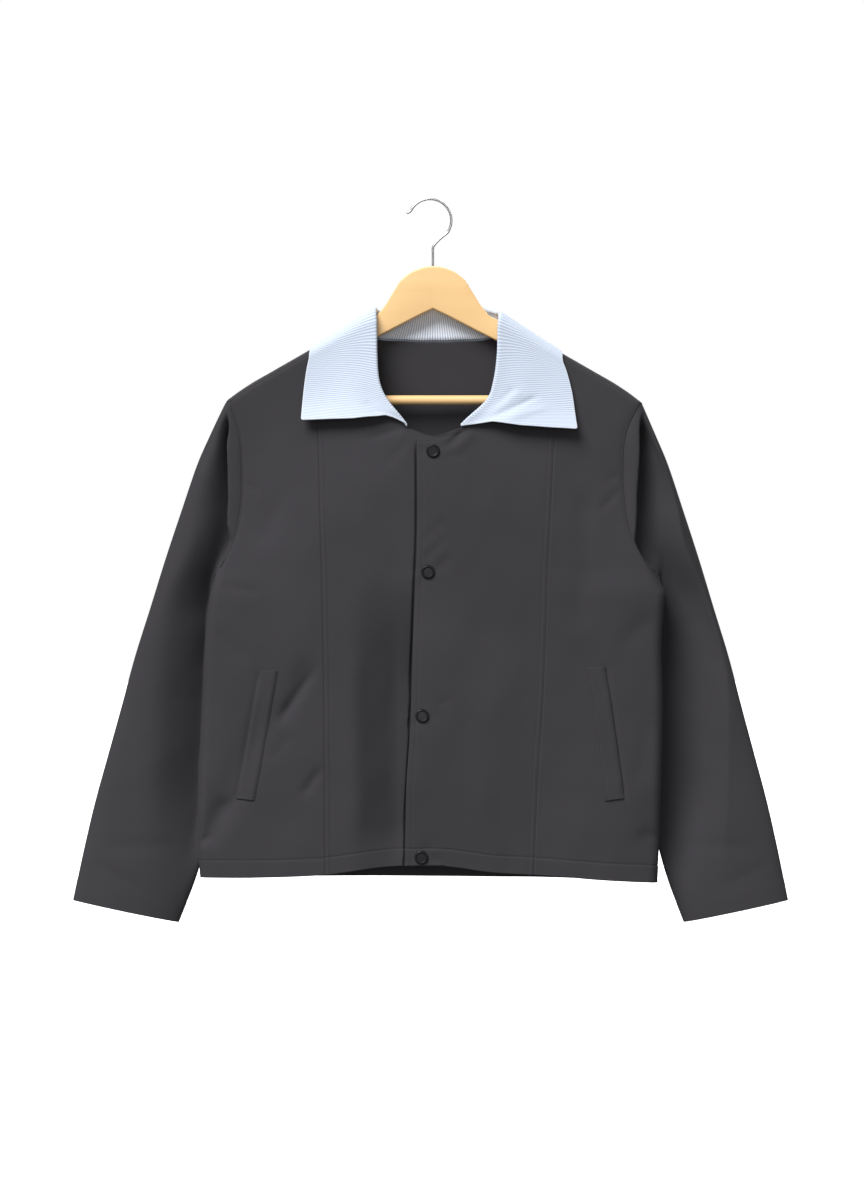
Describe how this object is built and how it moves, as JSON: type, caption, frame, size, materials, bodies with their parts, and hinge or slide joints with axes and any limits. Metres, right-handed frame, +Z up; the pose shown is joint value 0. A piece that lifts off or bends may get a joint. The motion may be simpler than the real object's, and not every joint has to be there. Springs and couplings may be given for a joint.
{
  "type": "four-button jacket on a hanger",
  "caption": "Boxy hip-length cloth jacket with a striped open collar, snap front and slanted welt pockets, hanging on a flat wooden hanger with a trouser bar and a wire hook.",
  "frame": {"origin": "inside of the hook's crown, where the hanger hangs", "axes": "-Y is the jacket's front, +X the wearer's left, +Z up"},
  "size_m": [0.7886, 0.0786, 0.798],
  "materials": {
    "charcoal_cloth": "matt, fine weave",
    "striped_cloth": "matt, fine stripes",
    "black_snap": "satin",
    "pale_wood": "clear satin lacquer",
    "bright_wire": "polished"
  },
  "bodies": {
    "root": {"hanger_body": "pale_wood", "hanger_bar": "pale_wood", "hanger_hook": "bright_wire", "front_centre_right": "charcoal_cloth", "front_centre_left": "charcoal_cloth", "front_side_right": "charcoal_cloth", "front_side_left": "charcoal_cloth", "sleeve_right": "charcoal_cloth", "sleeve_left": "charcoal_cloth", "back": "charcoal_cloth", "collar": "striped_cloth", "pocket_welt_right": "charcoal_cloth", "pocket_welt_left": "charcoal_cloth", "snap_1": "black_snap", "snap_2": "black_snap", "snap_3": "black_snap", "snap_4": "black_snap"}
  },
  "joints": []
}
